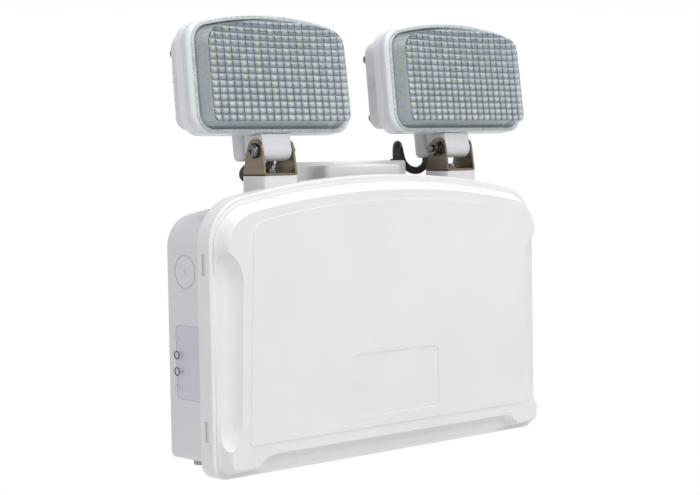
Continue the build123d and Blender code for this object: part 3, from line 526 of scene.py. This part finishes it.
def make_lead(name):
    """Lamp lead as two tubes, lower and upper, split at the middle of its line."""
    line = lead_line(f"{name}_lead_line", lead_routes[name])
    half = line_length(line) / 2
    split = min(range(len(line)), key=lambda index: abs(line_length(line[:index + 1]) - half))
    lengths = (("lower", line[:split + 1], "housing", f"{name}_bracket_body", lead_pan_turn[name]),
               ("upper", line[split:], f"{name}_bracket_body", f"{name}_head_body",
                lead_tilt_turn[name]))
    for part, points, one, two, turn in lengths:
        tube = lead_tube(f"{name}_lead_{part}", points)
        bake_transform(tube)
        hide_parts(f"{name}_lamp_cord")


for name, side in sides:
    make_lead(name)


# Widths of rounded edges, in metres, and in millimetres for what is drawn on a head's axes

box_edge = 0.0005
sheet_edge = 0.00025
lens_edge = 0.0006
bezel_edge = 0.0004
shell_edge = 0.0011
arm_edge = 0.0006
led_edge = 0.2
rib_edge = 0.08


# Box, cover and brackets

for node in ("front_cover", "back_box"):
    rounded_copy(node, box_edge)
for name, side in sides:
    rounded_copy(f"{name}_bracket", sheet_edge)


# Lamp lenses, in millimetres on the head's own axes

face_half = 53.7
face_low = 15.0
face_top = 77.6
prism_margin = 1.0
prism_columns = 19
prism_rows = 15
prism_gap = 0.42
prism_base = 14.85
prism_top = 15.94
prism_sunk = 0.02
prism_rim = 0.3
prism_crown = 0.75
prism_blank = 0.45
groove_slant = 0.55
led_columns = 9
led_rows = 12
led_pitch_x = 11.1
led_pitch_z = 4.04
led_middle = 46.8
led_size = 2.4
led_front = 2.1
board_front = 1.2
lens_hull_scale = 0.988
foot_front = 4.7
face_front = 16.0
face_widening = 0.0168
face_shift = {"left": 0.9, "right": 1.5}
face_lowering = 0.5
arch_flattening = 0.00045
bezel_lowering = 2.0
bezel_span = 58.0
arch_low = 46.0
arch_high = 77.0
head_forward = {"left": 0.0, "right": 3.0}


def fit_head(obj, name, side, back_shift=0.0):
    """Ease a piece of a head's shell: flatter arch, wider face, further forward."""
    place = head_frame(side)
    back = place.inverted()
    for vertex in obj.data.vertices:
        across, depth, up = (back @ vertex.co) * 1000
        front = min(max((-depth - foot_front) / (face_front - foot_front), 0.0), 1.0)
        arch = min(max((up - arch_low) / (arch_high - arch_low), 0.0), 1.0)
        arch = arch * arch * (3 - 2 * arch)
        face_rise = arch_flattening * across * across - face_lowering
        bezel_rise = -bezel_lowering * (1 - (across / bezel_span) ** 2)
        rise = (face_rise * front + bezel_rise * (1 - front)) * arch
        moved = Vector((across * (1 + face_widening * front) + face_shift[name] * front,
                        depth - head_forward[name] + back_shift, up + rise))
        vertex.co = place @ (moved / 1000)
    obj.data.update()


def make_prism_pattern(width, height):
    """One cushion-shaped prism, facing up, on a footprint in millimetres."""
    bpy.ops.object.select_all(action="DESELECT")
    bpy.ops.mesh.primitive_grid_add(x_subdivisions=4, y_subdivisions=4, size=1)
    prism = bpy.context.object
    bpy.ops.object.mode_set(mode="EDIT")
    bpy.ops.mesh.select_all(action="SELECT")
    bpy.ops.mesh.extrude_region_move(TRANSFORM_OT_translate={"value": (0, 0, prism_blank)})
    bpy.ops.object.mode_set(mode="OBJECT")
    rise = prism_top - prism_base + prism_sunk
    for vertex in prism.data.vertices:
        x, y, z = vertex.co
        crown = (1 - (2 * x) ** 2) * (1 - (2 * y) ** 2)
        raised = prism_rim + (1 - prism_rim) * crown ** prism_crown
        up = rise * raised if z > prism_blank / 2 else 0.0
        vertex.co = (x * width, y * height, up)
    select_only(prism)
    bpy.ops.object.mode_set(mode="EDIT")
    bpy.ops.mesh.select_all(action="SELECT")
    bpy.ops.mesh.normals_make_consistent(inside=False)
    bpy.ops.object.mode_set(mode="OBJECT")
    return prism


def lens_hull(name, side):
    """Whole outer form of a lens, a little smaller, to trim the prisms by."""
    hull = free_copy(f"{name}_lens", f"{name}_lens_hull")
    select_only(hull)
    bpy.ops.object.mode_set(mode="EDIT")
    bpy.ops.mesh.select_all(action="SELECT")
    bpy.ops.mesh.convex_hull()
    bpy.ops.object.mode_set(mode="OBJECT")
    place = head_frame(side)
    middle = Matrix.Translation((0, 0, (face_low + face_top) / 2000))
    shrink = Matrix.Diagonal((lens_hull_scale, 1, lens_hull_scale, 1))
    hull.data.transform(place @ middle @ shrink @ middle.inverted() @ place.inverted())
    return hull


# Painted light and shade on the prisms: how bright a prism looks as a dome, as a band, and how much
# both change across the lens
dome_bright = 0.70
dome_fall = 1.7
dome_skew = 0.6
odd_column_dim = 0.06
band_bright = 0.30
band_rise = 1.1
band_edge = 0.1
band_dark = 0.2
painted_shading_chance = 0.12
far_start = 0.65
far_gain = 0.18
# How much of a painted LED image shows in a prism
image_aside = 0.02
image_spread = 0.045
image_fade = 0.7
image_least = 0.6
image_chance = 0.8


def mark_painted_light(prisms, side, pitch_x, pitch_z):
    """Note on each point the painted light and shade of its prism there, and how much of a painted
    LED image it shows.
    """
    back = head_frame(side).inverted()
    painted_shading = prisms.data.attributes.new("painted_shading", "FLOAT", "POINT")
    painted_image = prisms.data.attributes.new("painted_led_image", "FLOAT", "POINT")
    painted_shading_values = []
    painted_images = []
    for vertex in prisms.data.vertices:
        across, depth, up = (back @ vertex.co) * 1000
        column = (across + face_half - prism_margin) / pitch_x
        row = (up - face_low - prism_margin) / pitch_z
        u = column % 1 - 0.5
        v = row % 1 - 0.5
        column = int(column)
        row = int(row)
        chance = random.Random(column * 100 + row).random()
        # Painted highlights and shade: low prisms shine as domes, high ones as bands, and the far
        # side is painted brighter
        dome = dome_bright - dome_fall * (u * u + v * v) + dome_skew * u * v
        dome -= odd_column_dim * (column % 2)
        band = band_bright + band_rise * max(v - band_edge, 0) - band_dark * (abs(v) < band_edge)
        blend = min(max(row / prism_rows, 0), 1) ** 1.5
        far = far_gain * max(column / prism_columns - far_start, 0)
        painted_shading_values.append(dome * (1 - blend) + band * blend + painted_shading_chance * (chance - 0.5) + far)
        # Every other column shows a painted LED image near each prism's middle, fainter to the far
        # side
        near = max(1 - ((u + image_aside) ** 2 + v * v) / image_spread, 0)
        strong = (1 - image_fade * column / prism_columns) * (image_least + image_chance * chance)
        shows = column % 2 == 0 and row < prism_rows - 1
        painted_images.append(min(near * strong, 1.0) if shows else 0.0)
    painted_shading.data.foreach_set("value", painted_shading_values)
    painted_image.data.foreach_set("value", painted_images)


def make_lens(name, side):
    """Clear lens: smooth walls and a front face, with rows of cushion prisms on it."""
    place = head_frame(side)
    forward = place.to_3x3() @ Vector((0, -1, 0))
    shell = free_copy(f"{name}_lens", f"{name}_lens_piece")
    cut_off(shell, place @ Vector((0, -prism_base / 1000, 0)), forward)
    round_edges(shell, lens_edge, 3)
    fit_head(shell, name, side)
    even_shading(shell)
    dress(shell, "lens_clear")
    carry(shell, f"{name}_lens")

    pitch_x = (2 * face_half - 2 * prism_margin) / prism_columns
    pitch_z = (face_top - face_low - 2 * prism_margin) / prism_rows
    pattern = make_prism_pattern(pitch_x - prism_gap, pitch_z - prism_gap)
    lie_forward = Matrix.Rotation(math.radians(90), 4, "X")
    places = []
    for column in range(prism_columns):
        for row in range(prism_rows):
            x = -face_half + prism_margin + (column + 0.5) * pitch_x
            z = face_low + prism_margin + (row + 0.5) * pitch_z
            places.append(Matrix.Translation((x, -prism_base + prism_sunk, z)) @ lie_forward)
    prisms = repeat(pattern, places, f"{name}_lens_prisms")
    settle(prisms, place)
    hull = lens_hull(name, side)
    trim = prisms.modifiers.new("trim", "BOOLEAN")
    trim.operation = "INTERSECT"
    trim.solver = "EXACT"
    trim.object = hull
    apply_modifiers(prisms)
    bpy.data.objects.remove(hull)
    mark_painted_light(prisms, side, pitch_x, pitch_z)
    fit_head(prisms, name, side)
    select_only(prisms)
    bpy.ops.object.shade_smooth_by_angle(angle=prism_smooth_angle)
    dress(prisms, "lens_prism")
    # The prisms' sides get the near-black finish: painted shade in the grooves
    prisms.data.materials.append(finishes["lens_groove_painted_shade"])
    for face in prisms.data.polygons:
        if abs(face.normal.dot(forward)) < groove_slant:
            face.material_index = 1
    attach(prisms, f"{name}_head_body")


def make_leds(name, side):
    """Rows of square LEDs on the board behind the lens."""
    bpy.ops.object.select_all(action="DESELECT")
    bpy.ops.mesh.primitive_cube_add(size=1)
    led = bpy.context.object
    led.data.transform(Matrix.Diagonal((led_size, led_front - board_front, led_size, 1)))
    round_edges(led, led_edge, 1)
    forward_by = (led_front + board_front) / 2
    places = []
    for column in range(led_columns):
        for row in range(led_rows):
            x = (column - (led_columns - 1) / 2) * led_pitch_x
            z = led_middle + (row - (led_rows - 1) / 2) * led_pitch_z
            places.append(Matrix.Translation((x, -forward_by, z)))
    leds = repeat(led, places, f"{name}_leds_piece")
    settle(leds, head_frame(side))
    fit_head(leds, name, side)
    dress(leds, "led_yellow")
    carry(leds, f"{name}_leds")


# Bezels

flange_back = 1.2
seam_depth = 0.00028
seam_half = 0.00022


def make_bezel(name, side):
    """Front frame of a lamp head: a clear-looking flange over a white ring, with a seam between."""
    place = head_frame(side)
    forward = place.to_3x3() @ Vector((0, -1, 0))
    seam = place @ Vector((0, -flange_back / 1000, 0))
    obj = free_copy(f"{name}_bezel", f"{name}_bezel_piece")
    round_edges(obj, bezel_edge, 2)
    for shift in (-seam_half, 0.0, seam_half):
        seam_line(obj, seam + forward * shift, forward)
    centre = place @ Vector((0, 0, (face_low + face_top) / 2000))
    across = place.to_3x3() @ Vector((1, 0, 0))
    up = place.to_3x3() @ Vector((0, 0, 1))
    for vertex in obj.data.vertices:
        out = vertex.co - centre
        if abs((vertex.co - seam).dot(forward)) < seam_half / 2:
            flat = across * out.dot(across) + up * out.dot(up)
            vertex.co -= flat.normalized() * seam_depth
    even_shading(obj)
    dress(obj, "bezel_plastic")
    obj.data.materials.append(finishes["bezel_flange"])
    for face in obj.data.polygons:
        if (face.center - seam).dot(forward) > 0.0:
            face.material_index = 1
    fit_head(obj, name, side)
    carry(obj, f"{name}_bezel")


# Rear shells and arms

shell_foot = 13.1
shell_side = 59.2
shell_taper = 2.2
shell_start = 5.0
shell_flat = math.radians(1.0)
shell_deep = 25.0
shell_shallow = {"left": 18.5, "right": 21.0}
arm_reach = 13.0
arm_top = 17.5
arm_start = 4.0
rib_count = 5
rib_low = 28.0
rib_pitch = 5.2
rib_thick = 0.6
rib_proud = 0.35
rib_ends = (7.5, 16.0)
rib_margin = 0.05
screw_shift = {"left": -3.2, "right": -0.7}


def make_shell(name, side):
    """Rear shell of a head: its rounded outer form, shallower than the solid's."""
    place = head_frame(side)
    back = place.inverted()
    shell = free_copy(f"{name}_head_housing", f"{name}_head_shell")
    select_only(shell)
    bpy.ops.object.mode_set(mode="EDIT")
    bpy.ops.mesh.select_all(action="DESELECT")
    bpy.ops.object.mode_set(mode="OBJECT")
    for vertex in shell.data.vertices:
        across, depth, up = (back @ vertex.co) * 1000
        arm = abs(across) < arm_reach and up < arm_top and depth > arm_start
        rib = abs(across) > shell_side + rib_margin
        vertex.select = up < shell_foot or arm or rib
    bpy.ops.object.mode_set(mode="EDIT")
    bpy.ops.mesh.delete(type="VERT")
    bpy.ops.mesh.select_all(action="SELECT")
    bpy.ops.mesh.convex_hull()
    bpy.ops.mesh.select_all(action="SELECT")
    bpy.ops.mesh.dissolve_limited(angle_limit=shell_flat)
    bpy.ops.object.mode_set(mode="OBJECT")
    depth_scale = (shell_shallow[name] - shell_start) / (shell_deep - shell_start)
    for vertex in shell.data.vertices:
        across, depth, up = (back @ vertex.co) * 1000
        depth = min(depth, shell_start + (depth - shell_start) * depth_scale)
        vertex.co = place @ (Vector((across, depth, up)) / 1000)
    round_edges(shell, shell_edge, 3, 30.0)
    fit_head(shell, name, side)
    even_shading(shell)
    carry(shell, f"{name}_head_housing")


def make_ribs(name, side):
    """Fine ribs on both sides of a rear shell."""
    bpy.ops.object.select_all(action="DESELECT")
    bpy.ops.mesh.primitive_cube_add(size=1)
    rib = bpy.context.object
    round_edges(rib, rib_edge, 1)
    low, high = rib_ends
    rib.data.transform(Matrix.Translation((0, (low + high) / 2, 0))
                       @ Matrix.Diagonal((1, high - low, rib_thick, 1)))
    places = []
    for hand in (-1, 1):
        for index in range(rib_count):
            places.append(Matrix.Translation((hand * shell_side, 0, rib_low + index * rib_pitch)))
    ribs = repeat(rib, places, f"{name}_head_ribs")
    for vertex in ribs.data.vertices:
        across, depth, up = vertex.co
        hand = math.copysign(1, across)
        along = (depth - shell_start) / (shell_shallow[name] - shell_start)
        flush = shell_side - shell_taper * along
        out = rib_proud if abs(across) > shell_side else -rib_thick
        vertex.co.x = hand * (flush + out)
    settle(ribs, head_frame(side))
    fit_head(ribs, name, side)
    even_shading(ribs)
    dress(ribs, "head_plastic")
    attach(ribs, f"{name}_head_body")


def make_arm(name, side):
    """Arm, barrel and lug under a head, cut off at the foot of its shell."""
    place = head_frame(side)
    arm = free_copy(f"{name}_head_housing", f"{name}_head_arm")
    up = place.to_3x3() @ Vector((0, 0, 1))
    cut_off(arm, place @ Vector((0, 0, shell_foot / 1000)), up)
    round_edges(arm, arm_edge, 2)
    even_shading(arm)
    carry(arm, f"{name}_head_housing")


def make_inner_parts(name, side):
    """Gasket, board, reflector and rear screws, set where the eased shell wants them."""
    for part, shift in (("lens_gasket", 0.0), ("led_board", 0.0), ("reflector", 0.0),
                        ("head_screws", screw_shift[name])):
        obj = free_copy(f"{name}_{part}", f"{name}_{part}_piece")
        fit_head(obj, name, side, shift)
        even_shading(obj)
        carry(obj, f"{name}_{part}")


for name, side in sides:
    make_lens(name, side)
    make_leds(name, side)
    make_bezel(name, side)
    make_shell(name, side)
    make_ribs(name, side)
    make_arm(name, side)
    make_inner_parts(name, side)


# Left tilt screw's nut, which is thinner than the right one

ear_offset = 0.013
nut_thinness = 0.5
screw_end = 0.0034


def make_left_nut():
    """Thin nut and washers on the left head's inner ear, and the screw's end cut to suit."""
    ear = -post_spacing / 2 + ear_offset
    for part in ("pivot_nut", "pivot_washers"):
        obj = free_copy(f"left_{part}", f"left_{part}_piece")
        for vertex in obj.data.vertices:
            vertex.co.x = ear + (vertex.co.x - ear) * nut_thinness
        even_shading(obj)
        carry(obj, f"left_{part}")
    screw = free_copy("left_pivot_screw", "left_pivot_screw_piece")
    cut_off(screw, (ear + screw_end, 0, 0), (1, 0, 0))
    even_shading(screw)
    carry(screw, "left_pivot_screw")


make_left_nut()


# Label's windows

label_depth = 0.0125
label_face = -0.13872
# Each ring's height, radius, thickness and finish
label_rings = ((-0.0158, 0.0023, 0.00032, "window_ring"),
               (-0.0256, 0.0023, 0.00032, "window_ring"),
               (-0.0060, 0.0021, 0.00016, "blank_ring"),
               (-0.0355, 0.0021, 0.00016, "blank_ring"))


def make_label_marks():
    """Black rings round the two indicators, and two faint blank circles."""
    for index, (height, radius, thick, finish) in enumerate(label_rings):
        bpy.ops.object.select_all(action="DESELECT")
        bpy.ops.mesh.primitive_torus_add(location=(label_face, -label_depth, height),
                                         rotation=(0, math.radians(90), 0), major_segments=40,
                                         minor_segments=8, major_radius=radius, minor_radius=thick)
        ring = bpy.context.object
        ring.name = f"label_ring_{index + 1}"
        ring.data.name = ring.name
        ring.data.transform(ring.matrix_world)
        ring.matrix_world = Matrix.Identity(4)
        bpy.ops.object.shade_smooth()
        dress(ring, finish)
        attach(ring, "housing")


make_label_marks()


# Studio

floor_height = -0.35
floor_size = 12.0
world_colour = (0.86, 0.88, 0.92, 1)
world_strength = 0.42


def seen_white(owner):
    """Factor that is 1 for camera rays, mirror images and rays through clear pieces, else 0."""
    rays = add_node(owner, "ShaderNodeLightPath")
    factor = rays.outputs["Is Camera Ray"]
    for kind in ("Is Transmission Ray", "Is Glossy Ray"):
        either = add_node(owner, "ShaderNodeMath")
        either.operation = "MAXIMUM"
        link(owner, factor, either.inputs[0])
        link(owner, rays.outputs[kind], either.inputs[1])
        factor = either.outputs[0]
    return factor


bpy.ops.object.select_all(action="DESELECT")
bpy.ops.mesh.primitive_plane_add(size=floor_size, location=(0, 0, floor_height))
floor = bpy.context.object
floor.name = "floor"
floor.data.transform(floor.matrix_world)
floor.matrix_world = Matrix.Identity(4)

world = bpy.data.worlds.new("studio")
scene.world = world
world.use_nodes = True
background = world.node_tree.nodes["Background"]
background.inputs["Color"].default_value = world_colour
background.inputs["Strength"].default_value = world_strength
white = add_node(world, "ShaderNodeBackground", Color=(1, 1, 1, 1), Strength=1.0)
mix = add_node(world, "ShaderNodeMixShader")
link(world, seen_white(world), mix.inputs["Fac"])
link(world, background.outputs["Background"], mix.inputs[1])
link(world, white.outputs["Background"], mix.inputs[2])
link(world, mix.outputs["Shader"], world.node_tree.nodes["World Output"].inputs["Surface"])

floor_material, floor_shader = new_material("floor_paper")
floor_shader.inputs["Roughness"].default_value = 0.9
floor_shader.inputs["Base Color"].default_value = (0.8, 0.8, 0.8, 1)
glow = add_node(floor_material, "ShaderNodeEmission", Strength=1.0)
pick = add_node(floor_material, "ShaderNodeMixShader")
surface = floor_material.node_tree.nodes["Material Output"].inputs["Surface"]
link(floor_material, seen_white(floor_material), pick.inputs["Fac"])
link(floor_material, floor_shader.outputs["BSDF"], pick.inputs[1])
link(floor_material, glow.outputs["Emission"], pick.inputs[2])
link(floor_material, pick.outputs["Shader"], surface)
floor.data.materials.append(floor_material)


def area_light(name, place, size, power, colour=(1, 1, 1)):
    """Square soft lamp at a place, aimed at the light's middle."""
    data = bpy.data.lights.new(name, "AREA")
    data.shape = "SQUARE"
    data.size = size
    data.energy = power
    data.color = colour
    lamp = bpy.data.objects.new(name, data)
    lamp.location = place
    lamp.rotation_euler = (-Vector(place)).to_track_quat("-Z", "Y").to_euler()
    scene.collection.objects.link(lamp)


area_light("key", (0.5, -1.4, 1.1), 0.9, 14.5)
area_light("top", (-0.1, -0.2, 1.4), 0.8, 9.5)
area_light("fill", (-1.6, -0.5, 0.4), 1.0, 5.8, (0.93, 0.95, 1.0))

scene.view_settings.view_transform = "Standard"
